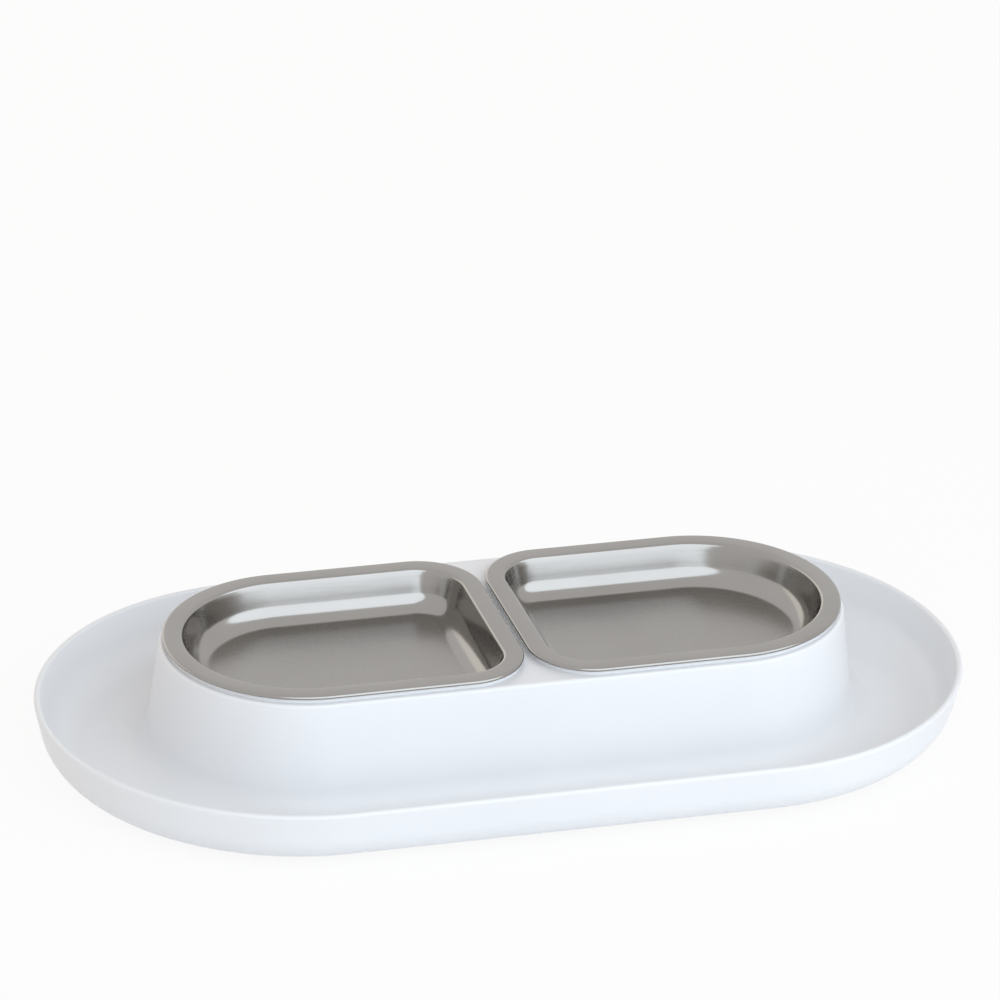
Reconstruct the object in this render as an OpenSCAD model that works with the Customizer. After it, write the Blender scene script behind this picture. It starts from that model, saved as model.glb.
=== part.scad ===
// Double pet bowl: a white moulded stand with a spill tray around a raised platform,
// two drawn steel bowls hung by their rims in the platform, and six rubber feet.
// Millimetres. The origin is on the table, under the middle of the tray.
// X runs along the tray, Y away from the viewer, Z up.

/* [Bowls] */
// Length of each rim, from the middle of the stand to its end
bowl_l = 160; // [150:1:190]
// Width of each rim, front to back
bowl_w = 128; // [115:1:150]
// Plan radius of the two corners beside the other bowl
corner_r = 30; // [26:0.5:45]
// Gap between the two rims
rim_gap = 2.6; // [1:0.1:10]
// Height of the rims' tops above the table
rim_h = 62; // [55:0.5:90]
// Depth of each bowl inside, below its rim
bowl_depth = 18.8; // [16:0.2:34]
// Thickness of the steel sheet
sheet_t = 0.8; // [0.5:0.1:1.2]
// Width of the flat rim, out to its edge
flange_w = 9.2; // [7:0.1:12]
// Radius of the rim's rolled outer edge
edge_roll_r = 1.4; // [1.3:0.1:2]
// Height of the rim's turned-down edge
skirt_h = 1.9; // [1.5:0.1:2.5]
// Radius where the rim rolls down into the bowl
mouth_roll_r = 2; // [1.5:0.1:3]
// Slant of the bowl's side from upright, in degrees
bowl_draft = 16; // [4:1:20]
// Radius between the bowl's side and its bottom
bowl_cove_r = 10.8; // [8:0.2:13]

/* [Platform] */
// Height of the collar that holds a rim above the platform's top
collar_h = 3.2; // [2:0.1:6]
// Distance of the collar's outside from the rim's edge
collar_inset = 1.5; // [1.3:0.1:3]
// Thickness of the collar
collar_t = 2.5; // [1.5:0.1:3.5]
// Fillet round the collar's foot
collar_fillet_r = 0.8; // [0.3:0.1:1]
// Width of the platform's top outside the rims
platform_margin = 1.2; // [1:0.1:10]
// Slant of the platform's side from upright, in degrees
platform_draft = 7.2; // [2:0.2:12]
// Radius of the platform's top edge
platform_edge_r = 1.8; // [0.6:0.1:2.2]
// Radius between the platform's side and the tray's floor
root_r = 14; // [6:0.5:18]

/* [Tray] */
// Thickness of the moulded wall
wall_t = 3; // [2:0.1:3.5]
// Width of the tray's flat floor
floor_w = 14.4; // [12:0.2:40]
// Extra length of floor at each end of the tray
end_extra = 2.7; // [0:0.1:8]
// Height of the lip's top above the table
lip_h = 31; // [26:0.5:40]
// Slant of the tray's wall from upright, in degrees
tray_flare = 13; // [5:1:25]
// Outside radius where the tray's wall turns under
turn_r = 19; // [12:0.5:20]

/* [Ribs] */
// Thickness of the ribs under the platform
rib_t = 2; // [1.2:0.1:2.5]
// Distance between the ribs along the straight sides
rib_pitch = 42; // [30:1:60]
// Angle between the ribs round each end, in degrees
rib_turn = 40; // [30:1:60]
// Height of the web between the two bowls
web_h = 34; // [10:1:45]

/* [Feet] */
// Radius of each rubber foot
foot_r = 6; // [4:0.1:8]
// Height of each foot, from the table to the stand's underside
foot_h = 2; // [1.5:0.1:4]
// Edge chamfer of each foot
foot_chamfer = 0.4; // [0.2:0.1:0.6]
// Gap round a foot inside its locating ring
foot_gap = 0.2; // [0.1:0.05:0.4]
// Thickness of the locating ring
foot_ring_t = 1; // [0.8:0.1:1.5]
// Height of the locating ring
foot_ring_h = 1; // [0.5:0.1:1.2]
// Angle of the end feet from the tray's long axis, in degrees
foot_turn = 45; // [30:1:60]

/* [Hidden] */

$fn = 96;
arc_steps = 10;
rib_count_side = 2;
rib_count_end = 1;
floor_lap_share = 0.1;
overrun = 1;

// Plan of a rim: a half circle at its outer end and two rounded corners at its inner end
rim_r = bowl_w / 2;
rim_in_x = rim_gap / 2;
corner_x = rim_in_x + corner_r;
end_x = rim_in_x + bowl_l - rim_r;
corner_y = rim_r - corner_r;

// Heights
bowl_floor_z = rim_h - bowl_depth;
collar_z = rim_h - sheet_t;
platform_z = collar_z - collar_h;
under_z = foot_h;
floor_z = under_z + wall_t;

// Bowl section, with lengths inward from the rim's edge
mouth_u = flange_w - mouth_roll_r * (1 - sin(bowl_draft)) / cos(bowl_draft);
cove_drop = bowl_depth - bowl_cove_r;
cove_u = flange_w + (cove_drop * sin(bowl_draft) + bowl_cove_r) / cos(bowl_draft);
opening_u = collar_inset + collar_t;

// Platform section, with radii from its spine
platform_r = rim_r + platform_margin;
function side_r(z) = platform_r + (platform_z - z) * tan(platform_draft);
edge_c = [side_r(platform_z - platform_edge_r) - platform_edge_r / cos(platform_draft),
  platform_z - platform_edge_r];
root_c = [side_r(floor_z + root_r) + root_r / cos(platform_draft), floor_z + root_r];
wall_run = wall_t / cos(platform_draft);
opening_r = rim_r - opening_u;

// Tray section, with radii from its own, longer spine
tray_spine = end_x + end_extra;
turn_c = [root_c[0] + floor_w, under_z + turn_r];
turn_mid_r = turn_r - wall_t / 2;
lip_z = lip_h - wall_t / 2;
lip_run = (lip_z - turn_c[1] + turn_mid_r * sin(tray_flare)) / cos(tray_flare);
lip_c = [turn_c[0] + turn_mid_r * cos(tray_flare) + lip_run * sin(tray_flare), lip_z];
tray_r = lip_c[0] + wall_t / 2;
tray_l = 2 * (tray_spine + tray_r);
tray_w = 2 * tray_r;
floor_mid_r = (root_c[0] + turn_c[0]) / 2;
floor_lap = floor_w * floor_lap_share;

// Feet
ring_r = foot_r + foot_gap + foot_ring_t;
foot_spine = (end_x + tray_spine) / 2;

echo(tray_l = tray_l, tray_w = tray_w, rim_h = rim_h);

// Points along an arc, from one angle to another
function arc(c, r, from, to) =
  [for (i = [0:arc_steps]) c + r * [cos(from + (to - from) * i / arc_steps),
    sin(from + (to - from) * i / arc_steps)]];

// Section of the steel sheet, out to the rim's edge at zero and in as far as reach
function bowl_section(reach) = concat(
  [[0, rim_h - skirt_h]],
  arc([-edge_roll_r, rim_h - edge_roll_r], edge_roll_r, 0, 90),
  arc([-mouth_u, rim_h - mouth_roll_r], mouth_roll_r, 90, 180 - bowl_draft),
  arc([-cove_u, bowl_floor_z + bowl_cove_r], bowl_cove_r, -bowl_draft, -90),
  [[-reach, bowl_floor_z], [-reach, bowl_floor_z - sheet_t]],
  arc([-cove_u, bowl_floor_z + bowl_cove_r], bowl_cove_r + sheet_t, -90, -bowl_draft),
  arc([-mouth_u, rim_h - mouth_roll_r], mouth_roll_r - sheet_t, 180 - bowl_draft, 90),
  arc([-edge_roll_r, rim_h - edge_roll_r], edge_roll_r - sheet_t, 90, 0),
  [[-sheet_t, rim_h - skirt_h]]);

// Section of the collar under a rim, with a fillet at its outer foot
function collar_section() = concat(
  [[-opening_u, platform_z - wall_t], [-opening_u, collar_z], [-collar_inset, collar_z]],
  arc([-collar_inset + collar_fillet_r, platform_z + collar_fillet_r], collar_fillet_r, 180, 270),
  [[-collar_inset + collar_fillet_r, platform_z - wall_t]]);

// Section of the opening's cut
function opening_section(reach) = [
  [-opening_u, platform_z - wall_t - overrun], [-opening_u, rim_h],
  [-reach, rim_h], [-reach, platform_z - wall_t - overrun]];

// Section of the platform: top, slanted side, and cove into the tray's floor
function platform_section() = concat(
  [[0, platform_z]],
  arc(edge_c, platform_edge_r, 90, platform_draft),
  arc(root_c, root_r, 180 + platform_draft, 270),
  [[turn_c[0] - floor_lap, floor_z], [turn_c[0] - floor_lap, under_z]],
  arc(root_c, root_r + wall_t, 270, 180 + platform_draft),
  [[side_r(platform_z - wall_t) - wall_run, platform_z - wall_t], [0, platform_z - wall_t]]);

// Section of the tray's wall: floor, turn, slanted wall and rounded lip
function tray_section() = concat(
  [[root_c[0] + floor_lap, under_z], [root_c[0] + floor_lap, floor_z]],
  arc(turn_c, turn_r - wall_t, -90, -tray_flare),
  arc(lip_c, wall_t / 2, 180 - tray_flare, -tray_flare),
  arc(turn_c, turn_r, -tray_flare, -90));

// A section moved outward, so that it stands at a radius from its axis
function moved(section, out) = [for (p = section) [p[0] + out, p[1]]];

// A section carried along the outline of a rim, right of the middle of the stand
module rim_sweep(end_section, side_section) {
  translate([end_x, 0, 0])
    rotate([0, 0, -90])
      rotate_extrude(angle = 180)
        polygon(moved(end_section, rim_r));
  for (side = [0, 1])
    mirror([0, side, 0]) {
      translate([corner_x, 0, 0])
        rotate([90, 0, 90])
          linear_extrude(end_x - corner_x)
            polygon(moved(side_section, rim_r));
      translate([corner_x, corner_y, 0])
        rotate([0, 0, 90])
          rotate_extrude(angle = 90)
            polygon(moved(side_section, corner_r));
    }
  translate([corner_x, corner_y, 0])
    mirror([1, 0, 0])
      rotate([90, 0, 0])
        linear_extrude(2 * corner_y)
          polygon(moved(side_section, corner_r));
}

// The block inside the corners' centres that a rim's sweep leaves out
module rim_middle(low, high) {
  translate([corner_x, -corner_y, low])
    cube([end_x - corner_x, 2 * corner_y, high - low]);
}

// A section carried round both ends and along both sides of a spine
module spine_sweep(spine, section) {
  for (end = [0, 1])
    mirror([end, 0, 0])
      translate([spine, 0, 0])
        rotate([0, 0, -90])
          rotate_extrude(angle = 180)
            polygon(section);
  for (side = [0, 1])
    mirror([0, side, 0])
      translate([-spine, 0, 0])
        rotate([90, 0, 90])
          linear_extrude(2 * spine)
            polygon(section);
}

module one_bowl() {
  rim_sweep(bowl_section(rim_r), bowl_section(corner_r));
  rim_middle(bowl_floor_z - sheet_t, bowl_floor_z);
}

module collar() {
  rim_sweep(collar_section(), collar_section());
}

module opening_cut() {
  rim_sweep(opening_section(rim_r), opening_section(corner_r));
  rim_middle(platform_z - wall_t - overrun, rim_h);
}

// An upright rib inside the platform's side, plumb with the opening's edge
module rib() {
  low = root_c[1];
  high = platform_z - wall_t / 2;
  rotate([90, 0, 0])
    translate([0, 0, -rib_t / 2])
      linear_extrude(rib_t)
        polygon([[opening_r, low], [side_r(low) - wall_run / 2, low],
          [side_r(high) - wall_run / 2, high], [opening_r, high]]);
}

module ribs() {
  for (end = [0, 1])
    mirror([end, 0, 0])
      translate([end_x, 0, 0])
        for (i = [-rib_count_end:rib_count_end])
          rotate([0, 0, i * rib_turn])
            rib();
  for (side = [-1, 1])
    for (i = [-rib_count_side:rib_count_side])
      if (i != 0)
        translate([i * rib_pitch, 0, 0])
          rotate([0, 0, side * 90])
            rib();
}

// A web across the stand, under the strip between the two bowls
module web() {
  top = platform_z - wall_t / 2;
  low = top - web_h;
  rotate([90, 0, 90])
    translate([0, 0, -rib_t / 2])
      linear_extrude(rib_t)
        polygon([[-(side_r(low) - wall_run / 2), low], [side_r(low) - wall_run / 2, low],
          [side_r(top) - wall_run / 2, top], [-(side_r(top) - wall_run / 2), top]]);
}

module foot_place(side_x, side_y) {
  at = side_x == 0 ? [0, floor_mid_r]
    : [foot_spine + floor_mid_r * cos(foot_turn), floor_mid_r * sin(foot_turn)];
  translate([side_x * at[0], side_y * at[1], 0])
    children();
}

module foot_ring() {
  translate([0, 0, under_z - foot_ring_h])
    difference() {
      cylinder(r = ring_r, h = foot_ring_h + wall_t / 2);
      translate([0, 0, -overrun])
        cylinder(r = foot_r + foot_gap, h = foot_ring_h + overrun);
    }
}

module foot() {
  color("dimgray") {
    cylinder(r1 = foot_r - foot_chamfer, r2 = foot_r, h = foot_chamfer);
    translate([0, 0, foot_chamfer])
      cylinder(r = foot_r, h = foot_h - foot_chamfer);
  }
}

module stand() {
  color("white")
    union() {
      difference() {
        union() {
          spine_sweep(end_x, platform_section());
          ribs();
          web();
        }
        for (side = [0, 1])
          mirror([side, 0, 0])
            opening_cut();
      }
      spine_sweep(tray_spine, tray_section());
      for (side = [0, 1])
        mirror([side, 0, 0])
          collar();
      for (side_x = [-1:1])
        for (side_y = [-1, 1])
          foot_place(side_x, side_y)
            foot_ring();
    }
}

module bowl_left() {
  color("silver")
    mirror([1, 0, 0])
      one_bowl();
}

module bowl_right() {
  color("silver")
    one_bowl();
}

module foot_front_left() { foot_place(-1, -1) foot(); }
module foot_front_middle() { foot_place(0, -1) foot(); }
module foot_front_right() { foot_place(1, -1) foot(); }
module foot_rear_left() { foot_place(-1, 1) foot(); }
module foot_rear_middle() { foot_place(0, 1) foot(); }
module foot_rear_right() { foot_place(1, 1) foot(); }

stand();
bowl_left();
bowl_right();
foot_front_left();
foot_front_middle();
foot_front_right();
foot_rear_left();
foot_rear_middle();
foot_rear_right();
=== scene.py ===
"""The looks of a double pet bowl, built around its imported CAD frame."""
import math

import bmesh
import bpy
from mathutils import Matrix, Vector


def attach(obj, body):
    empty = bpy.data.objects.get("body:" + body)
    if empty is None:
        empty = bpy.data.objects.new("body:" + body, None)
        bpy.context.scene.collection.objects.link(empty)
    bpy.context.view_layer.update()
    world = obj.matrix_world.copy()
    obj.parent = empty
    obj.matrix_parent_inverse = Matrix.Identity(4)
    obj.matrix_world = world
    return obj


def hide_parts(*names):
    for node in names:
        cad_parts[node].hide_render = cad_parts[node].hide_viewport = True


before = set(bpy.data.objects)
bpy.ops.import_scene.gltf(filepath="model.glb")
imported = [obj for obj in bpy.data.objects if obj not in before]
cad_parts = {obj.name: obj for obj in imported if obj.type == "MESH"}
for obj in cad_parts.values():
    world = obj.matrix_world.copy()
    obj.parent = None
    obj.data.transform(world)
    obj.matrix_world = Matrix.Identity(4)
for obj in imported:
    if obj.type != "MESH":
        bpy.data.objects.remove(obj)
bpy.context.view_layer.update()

MM = 0.001

# The part's own sizes, in millimetres, and angles in degrees.
BOWL_L = 160.0
BOWL_W = 128.0
CORNER_R = 30.0
RIM_GAP = 2.6
RIM_H = 62.0
BOWL_DEPTH = 18.8
SHEET_T = 0.8
FLANGE_W = 9.2
EDGE_ROLL_R = 1.4
SKIRT_H = 1.9
MOUTH_ROLL_R = 2.0
BOWL_DRAFT = 16.0
BOWL_COVE_R = 10.8
COLLAR_H = 3.2
COLLAR_INSET = 1.5
COLLAR_T = 2.5
COLLAR_FILLET_R = 0.8
PLATFORM_MARGIN = 1.2
PLATFORM_DRAFT = 7.2
PLATFORM_EDGE_R = 1.8
ROOT_R = 14.0
WALL_T = 3.0
FLOOR_W = 14.4
END_EXTRA = 2.7
LIP_H = 31.0
TRAY_FLARE = 13.0
TURN_R = 19.0
RIB_T = 2.0
RIB_PITCH = 42.0
RIB_TURN = 40.0
WEB_H = 34.0
FOOT_R = 6.0
FOOT_H = 2.0
FOOT_CHAMFER = 0.4
FOOT_GAP = 0.2
FOOT_RING_T = 1.0
FOOT_RING_H = 1.0
FOOT_TURN = 45.0

# The sole of a foot: rings that stand out from it, and its rounded top edge.
SOLE_DEPTH = 0.25
SOLE_START = 0.6
SOLE_END = 5.2
SOLE_RINGS = (1.6, 3.0, 4.4)
SOLE_RING_TOP = 0.3
SOLE_RING_FOOT = 0.45
FOOT_TOP_R = 0.15
FOOT_RING_EDGE_R = 0.25

# Finer than the solids: edges, the crown across the flat rim, and how far the ribs keep back
# from the openings' walls, so that no two faces share a plane.
COLLAR_EDGE_R = 0.35
CROWN = 0.1
RIB_SETBACK = 0.05

# How finely the curves are cut, and the ring of small faces round a flat one.
END_STEPS = 96
CORNER_STEPS = 24
SIDE_STEPS = 8
FILL_RING = 0.06

# Materials: pairs of colours between which a soft noise blends, and the steel's roughness.
PLASTIC_COLORS = ((0.810, 0.832, 0.858), (0.830, 0.850, 0.874))
PLASTIC_IOR = 1.49
STEEL_COLORS = ((0.317, 0.303, 0.289), (0.343, 0.329, 0.313))
RUBBER_COLORS = ((0.17, 0.17, 0.175), (0.22, 0.22, 0.225))
SATIN_ROUGHNESS = 0.26
POLISHED_ROUGHNESS = 0.15

# Above the bowl's bottom by this much, in millimetres, the satin finish gives way to the polish.
SATIN_END = (0.01, 0.06)

# Stage: linear levels, where 1 is white, and the share of the floor that is plain white.
FILL = (0.665, 0.62, 0.59)
KEY = (0.425, 0.492, 0.552)
BACK = (0.12, 0.11, 0.09)
LAMP_DISTANCE = 2.6
FLOOR_RADIUS = 4000.0
FLOOR_TONE = 0.9
FLOOR_WHITE = 0.90


def sin(angle):
    return math.sin(math.radians(angle))


def cos(angle):
    return math.cos(math.radians(angle))


def tan(angle):
    return math.tan(math.radians(angle))


# Sizes that follow, by the same sums as in the part's source.
RIM_R = BOWL_W / 2
CORNER_X = RIM_GAP / 2 + CORNER_R
END_X = RIM_GAP / 2 + BOWL_L - RIM_R
CORNER_Y = RIM_R - CORNER_R
BOWL_FLOOR_Z = RIM_H - BOWL_DEPTH
COLLAR_Z = RIM_H - SHEET_T
PLATFORM_Z = COLLAR_Z - COLLAR_H
UNDER_Z = FOOT_H
FLOOR_Z = UNDER_Z + WALL_T
MOUTH_U = FLANGE_W - MOUTH_ROLL_R * (1 - sin(BOWL_DRAFT)) / cos(BOWL_DRAFT)
COVE_U = FLANGE_W + ((BOWL_DEPTH - BOWL_COVE_R) * sin(BOWL_DRAFT) + BOWL_COVE_R) / cos(BOWL_DRAFT)
OPENING_U = COLLAR_INSET + COLLAR_T


def side_r(z):
    return RIM_R + PLATFORM_MARGIN + (PLATFORM_Z - z) * tan(PLATFORM_DRAFT)


EDGE_C = (side_r(PLATFORM_Z - PLATFORM_EDGE_R) - PLATFORM_EDGE_R / cos(PLATFORM_DRAFT),
          PLATFORM_Z - PLATFORM_EDGE_R)
ROOT_C = (side_r(FLOOR_Z + ROOT_R) + ROOT_R / cos(PLATFORM_DRAFT), FLOOR_Z + ROOT_R)
WALL_RUN = WALL_T / cos(PLATFORM_DRAFT)
TRAY_SPINE = END_X + END_EXTRA
TURN_C = (ROOT_C[0] + FLOOR_W, UNDER_Z + TURN_R)
TURN_MID_R = TURN_R - WALL_T / 2
LIP_Z = LIP_H - WALL_T / 2
LIP_RUN = (LIP_Z - TURN_C[1] + TURN_MID_R * sin(TRAY_FLARE)) / cos(TRAY_FLARE)
LIP_C = (TURN_C[0] + TURN_MID_R * cos(TRAY_FLARE) + LIP_RUN * sin(TRAY_FLARE), LIP_Z)
FLOOR_MID_R = (ROOT_C[0] + TURN_C[0]) / 2
FOOT_SPINE = (END_X + TRAY_SPINE) / 2


# Outlines and sections.

def arc(center, radius, start, end, steps):
    """Points along an arc, from one angle to another."""
    angles = [start + (end - start) * i / steps for i in range(steps + 1)]
    return [(center[0] + radius * cos(a), center[1] + radius * sin(a)) for a in angles]


def between(a, b, steps):
    """Points on the line from a to b, without a."""
    return [tuple(p + (q - p) * i / steps for p, q in zip(a, b)) for i in range(1, steps + 1)]


def rim_outline(inset, side):
    """The outline of a rim, moved in by inset: a round end and two corners by the other bowl."""
    end_r = RIM_R - inset
    corner_r = CORNER_R - inset
    points = [(CORNER_X, -end_r)]
    points += between(points[-1], (END_X, -end_r), SIDE_STEPS)
    points += arc((END_X, 0), end_r, -90, 90, END_STEPS)[1:]
    points += between(points[-1], (CORNER_X, end_r), SIDE_STEPS)
    points += arc((CORNER_X, CORNER_Y), corner_r, 90, 180, CORNER_STEPS)[1:]
    points += between(points[-1], (CORNER_X - corner_r, -CORNER_Y), SIDE_STEPS)
    points += arc((CORNER_X, -CORNER_Y), corner_r, 180, 270, CORNER_STEPS)[1:-1]
    return points if side > 0 else [(-x, y) for x, y in reversed(points)]


def stadium(spine, radius):
    """The outline of the stand at one height: two straight sides and two half circles."""
    points = [(-spine, -radius)]
    points += between(points[-1], (spine, -radius), 2 * SIDE_STEPS)
    points += arc((spine, 0), radius, -90, 90, END_STEPS)[1:]
    points += between(points[-1], (-spine, radius), 2 * SIDE_STEPS)
    points += arc((-spine, 0), radius, 90, 270, END_STEPS)[1:-1]
    return points


def at_height(outline, z):
    return [(x, y, z) for x, y in outline]


def crowned(section, low_u, high_u):
    """A section whose flat part between two insets is a slight crown, so that it mirrors softly."""
    middle = (low_u + high_u) / 2
    points = []
    for u, z in section:
        share = min(abs(u - middle) / (middle - low_u), 1.0) ** 2
        fade = max(0.0, 1.0 - (RIM_H - z) / EDGE_ROLL_R)
        points.append((u, z - CROWN * share * fade))
    return points


def sheet_top_section():
    """The bowl's upper face, as insets and heights, from the turned-down edge to the bottom."""
    lip = [(0.0, RIM_H - SKIRT_H + SHEET_T / 2)]
    lip += arc((EDGE_ROLL_R, RIM_H - EDGE_ROLL_R), EDGE_ROLL_R, 180, 90, 10)
    mouth = arc((MOUTH_U, RIM_H - MOUTH_ROLL_R), MOUTH_ROLL_R, 90, BOWL_DRAFT, 12)
    cove_c = (COVE_U, BOWL_FLOOR_Z + BOWL_COVE_R)
    cove = arc(cove_c, BOWL_COVE_R, 180 + BOWL_DRAFT, 270, 28)
    rim = crowned(lip + between(lip[-1], mouth[0], 10) + mouth[1:], EDGE_ROLL_R, MOUTH_U)
    return rim + between(mouth[-1], cove[0], 5) + cove[1:]


def sheet_under_section():
    """The bowl's lower face, from the bottom back to the turned-down edge."""
    cove_c = (COVE_U, BOWL_FLOOR_Z + BOWL_COVE_R)
    cove = arc(cove_c, BOWL_COVE_R + SHEET_T, 270, 180 + BOWL_DRAFT, 20)
    mouth = arc((MOUTH_U, RIM_H - MOUTH_ROLL_R), MOUTH_ROLL_R - SHEET_T, BOWL_DRAFT, 90, 8)
    lip = arc((EDGE_ROLL_R, RIM_H - EDGE_ROLL_R), EDGE_ROLL_R - SHEET_T, 90, 180, 6)
    hem = arc((SHEET_T / 2, RIM_H - SKIRT_H + SHEET_T / 2), SHEET_T / 2, 360, 180, 8)
    side = between(cove[-1], mouth[0], 5) + mouth[1:]
    return cove + side + between(mouth[-1], lip[0], 3) + lip[1:] + hem


def collar_section():
    """A collar, from the fillet at its outer foot, over its top and down through the opening."""
    edge = COLLAR_EDGE_R
    foot_c = (COLLAR_INSET - COLLAR_FILLET_R, PLATFORM_Z + COLLAR_FILLET_R)
    foot = arc(foot_c, COLLAR_FILLET_R, 270, 360, 8)
    outer = arc((COLLAR_INSET + edge, COLLAR_Z - edge), edge, 180, 90, 5)
    inner = arc((OPENING_U - edge, COLLAR_Z - edge), edge, 90, 0, 5)
    low = PLATFORM_Z - WALL_T
    base = arc((OPENING_U - edge, low + edge), edge, 0, -90, 5)
    return foot + outer + inner + base


def shell_section():
    """The stand's shell, as spine, radius and height, from the platform's top to its underside."""
    top = [(END_X, r, z) for r, z in arc(EDGE_C, PLATFORM_EDGE_R, 90, PLATFORM_DRAFT, 12)]
    root = [(END_X, r, z) for r, z in arc(ROOT_C, ROOT_R, 180 + PLATFORM_DRAFT, 270, 24)]
    turn = [(TRAY_SPINE, r, z) for r, z in arc(TURN_C, TURN_R - WALL_T, -90, -TRAY_FLARE, 28)]
    lip = [(TRAY_SPINE, r, z) for r, z in arc(LIP_C, WALL_T / 2, 180 - TRAY_FLARE, -TRAY_FLARE, 20)]
    under = [(TRAY_SPINE, r, z) for r, z in arc(TURN_C, TURN_R, -TRAY_FLARE, -90, 28)]
    hollow = [(END_X, r, z) for r, z in arc(ROOT_C, ROOT_R + WALL_T, 270, 180 + PLATFORM_DRAFT, 20)]
    low = PLATFORM_Z - WALL_T
    section = top + between(top[-1], root[0], 6) + root[1:]
    section += between(root[-1], turn[0], 2) + turn[1:]
    section += between(turn[-1], lip[0], 4) + lip[1:]
    section += between(lip[-1], under[0], 4) + under[1:]
    section += between(under[-1], hollow[0], 2) + hollow[1:]
    return section + between(hollow[-1], (END_X, side_r(low) - WALL_RUN, low), 4)


# Mesh building.

def loft(bm, loops):
    """Faces between loops of points, and the first and last loop's vertices."""
    rings = [[bm.verts.new([c * MM for c in p]) for p in loop] for loop in loops]
    for a, b in zip(rings, rings[1:]):
        for i in range(len(a)):
            j = (i + 1) % len(a)
            bm.faces.new((a[i], a[j], b[j], b[i]))
    return rings[0], rings[-1]


def ring_edges(bm, ring):
    return [bm.edges.get((ring[i - 1], ring[i])) for i in range(len(ring))]


def fill_flat(bm, rings):
    """A flat face with holes between one outer ring and others inside it."""
    edges = [edge for ring in rings for edge in ring_edges(bm, ring)]
    bmesh.ops.triangle_fill(bm, use_beauty=True, use_dissolve=False, edges=edges)


def add_prism(bm, base, top):
    """A closed solid between two matching outlines."""
    low, high = loft(bm, [base, top])
    bm.faces.new(low)
    bm.faces.new(high)


def finish_mesh(bm, name, material, sharp_angle=40):
    bmesh.ops.recalc_face_normals(bm, faces=bm.faces)
    mesh = bpy.data.meshes.new(name)
    bm.to_mesh(mesh)
    bm.free()
    mesh.shade_smooth()
    mesh.set_sharp_from_angle(angle=math.radians(sharp_angle))
    mesh.materials.append(material)
    piece = bpy.data.objects.new(name, mesh)
    bpy.context.scene.collection.objects.link(piece)
    return piece


def make_bowl(side, name, material):
    """A drawn bowl of steel sheet, with a flat rim, a rolled edge and a coved bottom."""
    bm = bmesh.new()
    top = sheet_top_section() + [(COVE_U + FILL_RING, BOWL_FLOOR_Z)]
    under = [(COVE_U + FILL_RING, BOWL_FLOOR_Z - SHEET_T)] + sheet_under_section()
    section = list(reversed(top)) + list(reversed(under))
    loops = [at_height(rim_outline(u, side), z) for u, z in section]
    inner, outer = loft(bm, loops)
    bm.faces.new(inner)
    bm.faces.new(outer)
    bmesh.ops.remove_doubles(bm, verts=bm.verts, dist=1e-7)
    return finish_mesh(bm, name, material)


def make_shell(name, material):
    """The moulded stand: spill tray, platform and the two collars, one closed shell."""
    bm = bmesh.new()
    section = shell_section()
    first = (section[0][0], section[0][1] - FILL_RING, section[0][2])
    last = (section[-1][0], section[-1][1] - FILL_RING, section[-1][2])
    loops = [at_height(stadium(s, r), z) for s, r, z in [first] + section + [last]]
    top, bottom = loft(bm, loops)
    tops, bottoms = [top], [bottom]
    for side in (-1, 1):
        section = collar_section()
        section = [(section[0][0] - FILL_RING, section[0][1])] + section
        section += [(section[-1][0] - FILL_RING, section[-1][1])]
        high, low = loft(bm, [at_height(rim_outline(u, side), z) for u, z in section])
        tops.append(high)
        bottoms.append(low)
    fill_flat(bm, tops)
    fill_flat(bm, bottoms)
    return finish_mesh(bm, name, material)


def turned(points, angle, shift):
    """Points in a rib's own plane, turned about the upright and moved along the stand."""
    c, s = cos(angle), sin(angle)
    return [(shift + x * c - y * s, x * s + y * c, z) for x, y, z in points]


def make_ribs(name, material):
    """The upright ribs inside the platform's side, and the web between the bowls."""
    bm = bmesh.new()
    low = ROOT_C[1]
    high = PLATFORM_Z - WALL_T / 2
    opening_r = RIM_R - OPENING_U + RIB_SETBACK
    edge = [(opening_r, low), (side_r(low) - WALL_RUN / 2, low),
            (side_r(high) - WALL_RUN / 2, high), (opening_r, high)]
    places = [(i * RIB_TURN, END_X) for i in (-1, 0, 1)]
    places += [(180 + i * RIB_TURN, -END_X) for i in (-1, 0, 1)]
    places += [(turn, i * RIB_PITCH) for turn in (-90, 90) for i in (-2, -1, 1, 2)]
    for angle, shift in places:
        faces = [[(x, y, z) for x, z in edge] for y in (-RIB_T / 2, RIB_T / 2)]
        add_prism(bm, *[turned(face, angle, shift) for face in faces])
    low = high - WEB_H
    reach = [side_r(z) - WALL_RUN / 2 for z in (low, high)]
    web = [(-reach[0], low), (reach[0], low), (reach[1], high), (-reach[1], high)]
    add_prism(bm, *[[(x, y, z) for y, z in web] for x in (-RIB_T / 2, RIB_T / 2)])
    return finish_mesh(bm, name, material, 20)


def circle(radius, z, steps=64):
    return [(radius * cos(360 * i / steps), radius * sin(360 * i / steps), z) for i in range(steps)]


def foot_places():
    """Where each foot stands, by the name of its node."""
    x = FOOT_SPINE + FLOOR_MID_R * cos(FOOT_TURN)
    y = FLOOR_MID_R * sin(FOOT_TURN)
    places = {}
    for row, sign in (("front", -1), ("rear", 1)):
        places["foot_%s_left" % row] = (-x, sign * y)
        places["foot_%s_middle" % row] = (0.0, sign * FLOOR_MID_R)
        places["foot_%s_right" % row] = (x, sign * y)
    return places


def moved(loop, place):
    return [(x + place[0], y + place[1], z) for x, y, z in loop]


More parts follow.
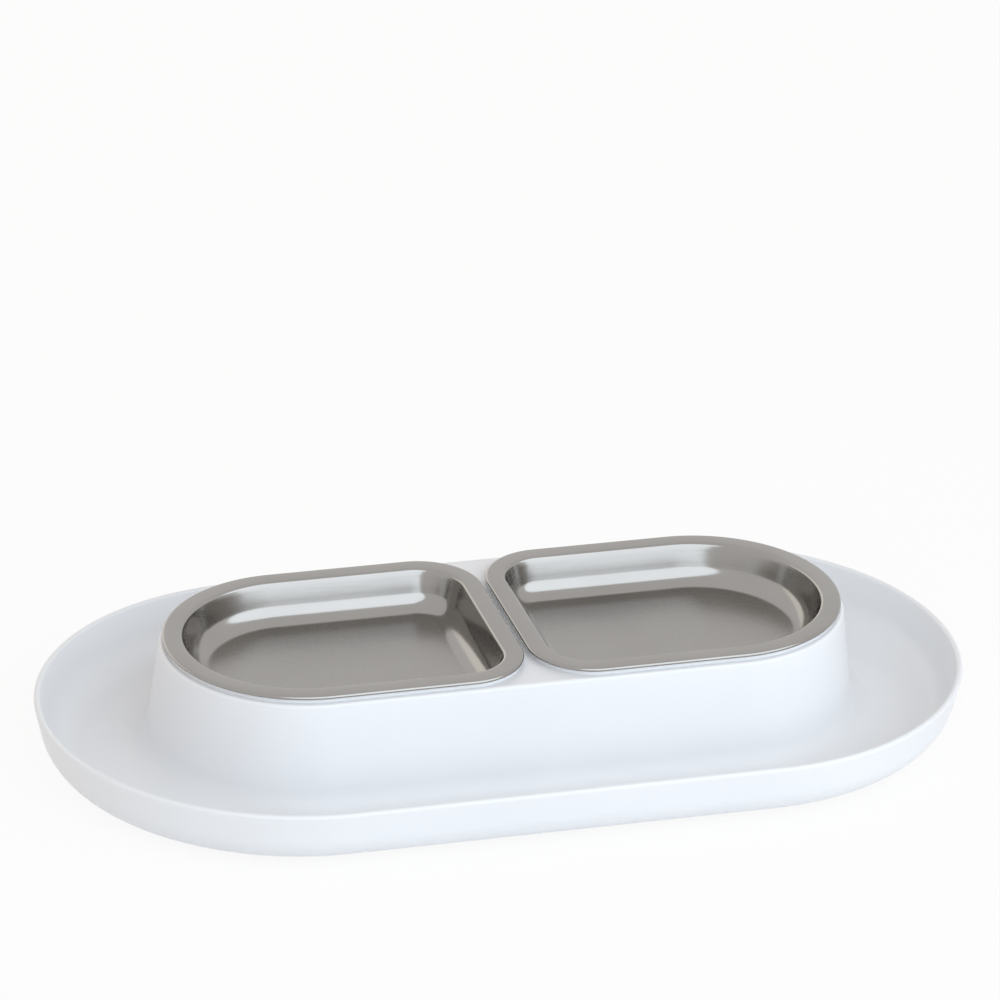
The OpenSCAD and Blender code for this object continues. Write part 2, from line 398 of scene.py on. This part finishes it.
def make_foot(place, name, material):
    """A rubber foot, with rounded edges and three rings on its sole."""
    bm = bmesh.new()
    section = [(SOLE_START, SOLE_DEPTH)]
    for ring in SOLE_RINGS:
        section += [(ring - SOLE_RING_FOOT, SOLE_DEPTH), (ring - SOLE_RING_TOP, 0.0)]
        section += [(ring + SOLE_RING_TOP, 0.0), (ring + SOLE_RING_FOOT, SOLE_DEPTH)]
    section += [(SOLE_END, SOLE_DEPTH), (FOOT_R - FOOT_CHAMFER, 0.0)]
    section += arc((FOOT_R - FOOT_CHAMFER, FOOT_CHAMFER), FOOT_CHAMFER, -90, 0, 6)[1:]
    section += arc((FOOT_R - FOOT_TOP_R, FOOT_H - FOOT_TOP_R), FOOT_TOP_R, 0, 90, 4)
    low, high = loft(bm, [moved(circle(r, z), place) for r, z in section])
    bm.faces.new(low)
    bm.faces.new(high)
    return finish_mesh(bm, name, material, 35)


def make_foot_rings(name, material):
    """The thin rings on the stand's underside that hold the feet."""
    bm = bmesh.new()
    inner = FOOT_R + FOOT_GAP
    outer = inner + FOOT_RING_T
    low = UNDER_Z - FOOT_RING_H
    high = UNDER_Z + WALL_T / 2
    edge = FOOT_RING_EDGE_R
    section = arc((outer - edge, low + edge), edge, 0, -90, 4)
    section += arc((inner + edge, low + edge), edge, 270, 180, 4)
    section += [(inner, high), (outer, high)]
    for place in foot_places().values():
        first, last = loft(bm, [moved(circle(r, z), place) for r, z in section])
        for i in range(len(first)):
            j = (i + 1) % len(first)
            bm.faces.new((last[i], last[j], first[j], first[i]))
    return finish_mesh(bm, name, material, 35)


# Materials.

def new_material(name):
    material = bpy.data.materials.new(name)
    material.use_nodes = True
    return material, material.node_tree, material.node_tree.nodes["Principled BSDF"]


def coords(tree, scale=(1, 1, 1)):
    """Object coordinates, in metres, stretched by a scale."""
    source = tree.nodes.new("ShaderNodeTexCoord").outputs["Object"]
    mapping = tree.nodes.new("ShaderNodeMapping")
    mapping.inputs["Scale"].default_value = scale
    tree.links.new(source, mapping.inputs["Vector"])
    return mapping.outputs["Vector"]


def noise(tree, scale, detail=2.0, stretch=(1, 1, 1)):
    texture = tree.nodes.new("ShaderNodeTexNoise")
    texture.inputs["Scale"].default_value = scale
    texture.inputs["Detail"].default_value = detail
    tree.links.new(coords(tree, stretch), texture.inputs["Vector"])
    return texture.outputs["Fac"]


def remap(tree, value, from_low, from_high, to_low, to_high):
    """A value taken from one range to another."""
    node = tree.nodes.new("ShaderNodeMapRange")
    node.inputs["From Min"].default_value = from_low
    node.inputs["From Max"].default_value = from_high
    node.inputs["To Min"].default_value = to_low
    node.inputs["To Max"].default_value = to_high
    tree.links.new(value, node.inputs["Value"])
    return node.outputs["Result"]


def maths(tree, operation, a, b):
    node = tree.nodes.new("ShaderNodeMath")
    node.operation = operation
    for socket, value in zip(node.inputs, (a, b)):
        if isinstance(value, (int, float)):
            socket.default_value = value
        else:
            tree.links.new(value, socket)
    return node.outputs["Value"]


def blend_values(tree, factor, a, b):
    """a where factor is 0 and b where it is 1."""
    return maths(tree, "ADD", maths(tree, "MULTIPLY", a, maths(tree, "SUBTRACT", 1.0, factor)),
                 maths(tree, "MULTIPLY", b, factor))


def blend_colors(tree, factor, a, b):
    """a where factor is 0 and b where it is 1; each a colour or a socket."""
    node = tree.nodes.new("ShaderNodeMix")
    node.data_type = "RGBA"
    factors = [i for i in node.inputs if i.name == "Factor" and i.type == "VALUE"]
    colors = [i for i in node.inputs if i.type == "RGBA"]
    tree.links.new(factor, factors[0])
    for socket, value in zip(colors, (a, b)):
        if isinstance(value, tuple):
            socket.default_value = (*value, 1)
        else:
            tree.links.new(value, socket)
    return [o for o in node.outputs if o.type == "RGBA"][0]


def add_bump(tree, bsdf, heights):
    """Bumps in a chain, each a height, a strength and a depth in metres."""
    normal = None
    for height, strength, depth in heights:
        node = tree.nodes.new("ShaderNodeBump")
        node.inputs["Strength"].default_value = strength
        node.inputs["Distance"].default_value = depth
        tree.links.new(height, node.inputs["Height"])
        if normal:
            tree.links.new(normal, node.inputs["Normal"])
        normal = node.outputs["Normal"]
    tree.links.new(normal, bsdf.inputs["Normal"])


def plastic_material():
    """Cool white moulded plastic with a fine spark-eroded grain and faint flow marks."""
    material, tree, bsdf = new_material("white_plastic")
    broad = noise(tree, 11.0, 3.0)
    tone = remap(tree, broad, 0.35, 0.65, 0.0, 1.0)
    color = blend_colors(tree, tone, *PLASTIC_COLORS)
    tree.links.new(color, bsdf.inputs["Base Color"])
    rough = maths(tree, "ADD", remap(tree, broad, 0.3, 0.7, 0.33, 0.40),
                  remap(tree, noise(tree, 900.0), 0.3, 0.7, -0.03, 0.03))
    tree.links.new(rough, bsdf.inputs["Roughness"])
    bsdf.inputs["IOR"].default_value = PLASTIC_IOR
    grain = (noise(tree, 2400.0, 3.0), 0.20, 0.00004)
    flow_marks = (noise(tree, 26.0, 1.0), 0.25, 0.0003)
    add_bump(tree, bsdf, [grain, flow_marks])
    return material


def steel_material():
    """Drawn stainless steel: polished sides and rim, with a satin bottom and fine brushing."""
    material, tree, bsdf = new_material("steel")
    split = tree.nodes.new("ShaderNodeSeparateXYZ")
    source = tree.nodes.new("ShaderNodeTexCoord")
    tree.links.new(source.outputs["Object"], split.inputs["Vector"])
    start, end = [(BOWL_FLOOR_Z + above) * MM for above in SATIN_END]
    height = remap(tree, split.outputs["Z"], start, end, 0.0, 1.0)
    broad = noise(tree, 22.0, 3.0)
    patches = remap(tree, broad, 0.3, 0.7, 0.0, 1.0)
    color = blend_colors(tree, patches, *STEEL_COLORS)
    tree.links.new(color, bsdf.inputs["Base Color"])
    bsdf.inputs["Metallic"].default_value = 1.0
    flat_grain = noise(tree, 1.0, 2.0, (60, 2600, 60))
    side_grain = noise(tree, 1.0, 2.0, (60, 60, 2600))
    grain = blend_values(tree, height, flat_grain, side_grain)
    smear = remap(tree, broad, 0.3, 0.7, -0.02, 0.03)
    streaks = remap(tree, grain, 0.3, 0.7, -0.02, 0.02)
    rough = blend_values(tree, height, SATIN_ROUGHNESS, POLISHED_ROUGHNESS)
    rough = maths(tree, "ADD", rough, maths(tree, "ADD", smear, streaks))
    tree.links.new(rough, bsdf.inputs["Roughness"])
    add_bump(tree, bsdf, [(grain, 0.015, 0.00002), (noise(tree, 30.0, 1.0), 0.025, 0.0002)])
    return material


def rubber_material():
    """Grey moulded rubber."""
    material, tree, bsdf = new_material("rubber")
    broad = noise(tree, 120.0, 2.0)
    color = blend_colors(tree, remap(tree, broad, 0.3, 0.7, 0.0, 1.0), *RUBBER_COLORS)
    tree.links.new(color, bsdf.inputs["Base Color"])
    tree.links.new(remap(tree, broad, 0.3, 0.7, 0.68, 0.8), bsdf.inputs["Roughness"])
    add_bump(tree, bsdf, [(noise(tree, 1800.0, 3.0), 0.35, 0.00006)])
    return material


# Stage.

def ray_kind(tree, names):
    """One where the ray is of any of these kinds, else zero."""
    path = tree.nodes.new("ShaderNodeLightPath")
    total = path.outputs[names[0]]
    for name in names[1:]:
        total = maths(tree, "MAXIMUM", total, path.outputs[name])
    return total


def make_floor():
    """A plain white floor that keeps a faint shadow of the object and is clear from below."""
    material = bpy.data.materials.new("floor")
    material.use_nodes = True
    tree = material.node_tree
    tree.nodes.clear()
    diffuse = tree.nodes.new("ShaderNodeBsdfDiffuse")
    diffuse.inputs["Color"].default_value = (FLOOR_TONE, FLOOR_TONE, FLOOR_TONE, 1)
    white = tree.nodes.new("ShaderNodeEmission")
    white.inputs["Color"].default_value = (1, 1, 1, 1)
    mix = tree.nodes.new("ShaderNodeMixShader")
    seen = ray_kind(tree, ("Is Camera Ray", "Is Glossy Ray", "Is Transmission Ray"))
    tree.links.new(maths(tree, "MULTIPLY", seen, FLOOR_WHITE), mix.inputs["Fac"])
    tree.links.new(diffuse.outputs["BSDF"], mix.inputs[1])
    tree.links.new(white.outputs["Emission"], mix.inputs[2])
    sides = tree.nodes.new("ShaderNodeMixShader")
    geometry = tree.nodes.new("ShaderNodeNewGeometry")
    tree.links.new(geometry.outputs["Backfacing"], sides.inputs["Fac"])
    tree.links.new(mix.outputs["Shader"], sides.inputs[1])
    tree.links.new(tree.nodes.new("ShaderNodeBsdfTransparent").outputs["BSDF"], sides.inputs[2])
    output = tree.nodes.new("ShaderNodeOutputMaterial")
    tree.links.new(sides.outputs["Shader"], output.inputs["Surface"])
    bm = bmesh.new()
    bm.faces.new([bm.verts.new([c * MM for c in p]) for p in circle(FLOOR_RADIUS, 0.0, 96)])
    floor = finish_mesh(bm, "floor", material)


def make_world():
    """White to the camera and in the steel, and a soft fill to everything else."""
    world = bpy.data.worlds.new("studio")
    bpy.context.scene.world = world
    world.use_nodes = True
    tree = world.node_tree
    tree.nodes.clear()
    fill = tree.nodes.new("ShaderNodeBackground")
    fill.inputs["Color"].default_value = (*FILL, 1)
    white = tree.nodes.new("ShaderNodeBackground")
    white.inputs["Color"].default_value = (1, 1, 1, 1)
    mix = tree.nodes.new("ShaderNodeMixShader")
    seen = ray_kind(tree, ("Is Camera Ray", "Is Glossy Ray", "Is Transmission Ray"))
    tree.links.new(seen, mix.inputs["Fac"])
    tree.links.new(fill.outputs["Background"], mix.inputs[1])
    tree.links.new(white.outputs["Background"], mix.inputs[2])
    output = tree.nodes.new("ShaderNodeOutputWorld")
    tree.links.new(mix.outputs["Shader"], output.inputs["Surface"])


def look_from(azimuth, elevation):
    """The direction from the object to a viewer at this azimuth, from the front, and elevation."""
    return Vector((sin(azimuth) * cos(elevation), -cos(azimuth) * cos(elevation), sin(elevation)))


def add_area(name, azimuth, elevation, size, level):
    """A wide soft lamp, which lights a white surface facing it to this level."""
    lamp = bpy.data.lights.new(name, "AREA")
    lamp.shape = "ELLIPSE"
    lamp.size, lamp.size_y = size
    lamp.energy = math.pi ** 2 * (LAMP_DISTANCE ** 2 + size[0] * size[1] / 4)
    lamp.color = level
    piece = bpy.data.objects.new(name, lamp)
    bpy.context.scene.collection.objects.link(piece)
    back = look_from(azimuth, elevation)
    piece.location = back * LAMP_DISTANCE
    piece.rotation_euler = back.to_track_quat("Z", "Y").to_euler()
    piece.visible_camera = False


def make_camera():
    """The photograph's camera, found from the outlines of the rims, platform and tray."""
    azimuth, elevation, roll, distance = -16.368, 25.298, 1.821, 3.0969
    target = Vector((0.06796, 0.24465, 0.0))
    back = look_from(azimuth, elevation)
    right = (-back).cross(Vector((0, 0, 1))).normalized()
    up = right.cross(-back)
    tilted = right * cos(roll) + up * sin(roll)
    upright = up * cos(roll) - right * sin(roll)
    data = bpy.data.cameras.new("camera")
    data.sensor_width = 36.0
    data.lens = 220.34
    data.clip_end = 50.0
    camera = bpy.data.objects.new("camera", data)
    bpy.context.scene.collection.objects.link(camera)
    rotation = Matrix((tilted, upright, back)).transposed().to_4x4()
    camera.matrix_world = Matrix.Translation(target + back * distance) @ rotation
    bpy.context.scene.camera = camera


# The scene.

def place(piece, body, slot, *nodes):
    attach(piece, body)
    if nodes:
        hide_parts(*nodes)


def build():
    plastic = plastic_material()
    steel = steel_material()
    rubber = rubber_material()
    place(make_shell("stand_shell", plastic), "stand", "white_plastic", "stand")
    place(make_ribs("stand_ribs", plastic), "stand", "white_plastic")
    place(make_foot_rings("stand_foot_rings", plastic), "stand", "white_plastic")
    place(make_bowl(1, "steel_bowl_right", steel), "bowl_right", "steel", "bowl_right")
    place(make_bowl(-1, "steel_bowl_left", steel), "bowl_left", "steel", "bowl_left")
    for node, at in foot_places().items():
        place(make_foot(at, "rubber_" + node, rubber), "stand", "rubber", node)


build()
make_floor()
make_world()
make_camera()
add_area("key", azimuth=19, elevation=30, size=(5.0, 3.0), level=KEY)
add_area("back", azimuth=-150, elevation=8, size=(5.0, 2.0), level=BACK)
bpy.context.scene.view_settings.view_transform = "Standard"
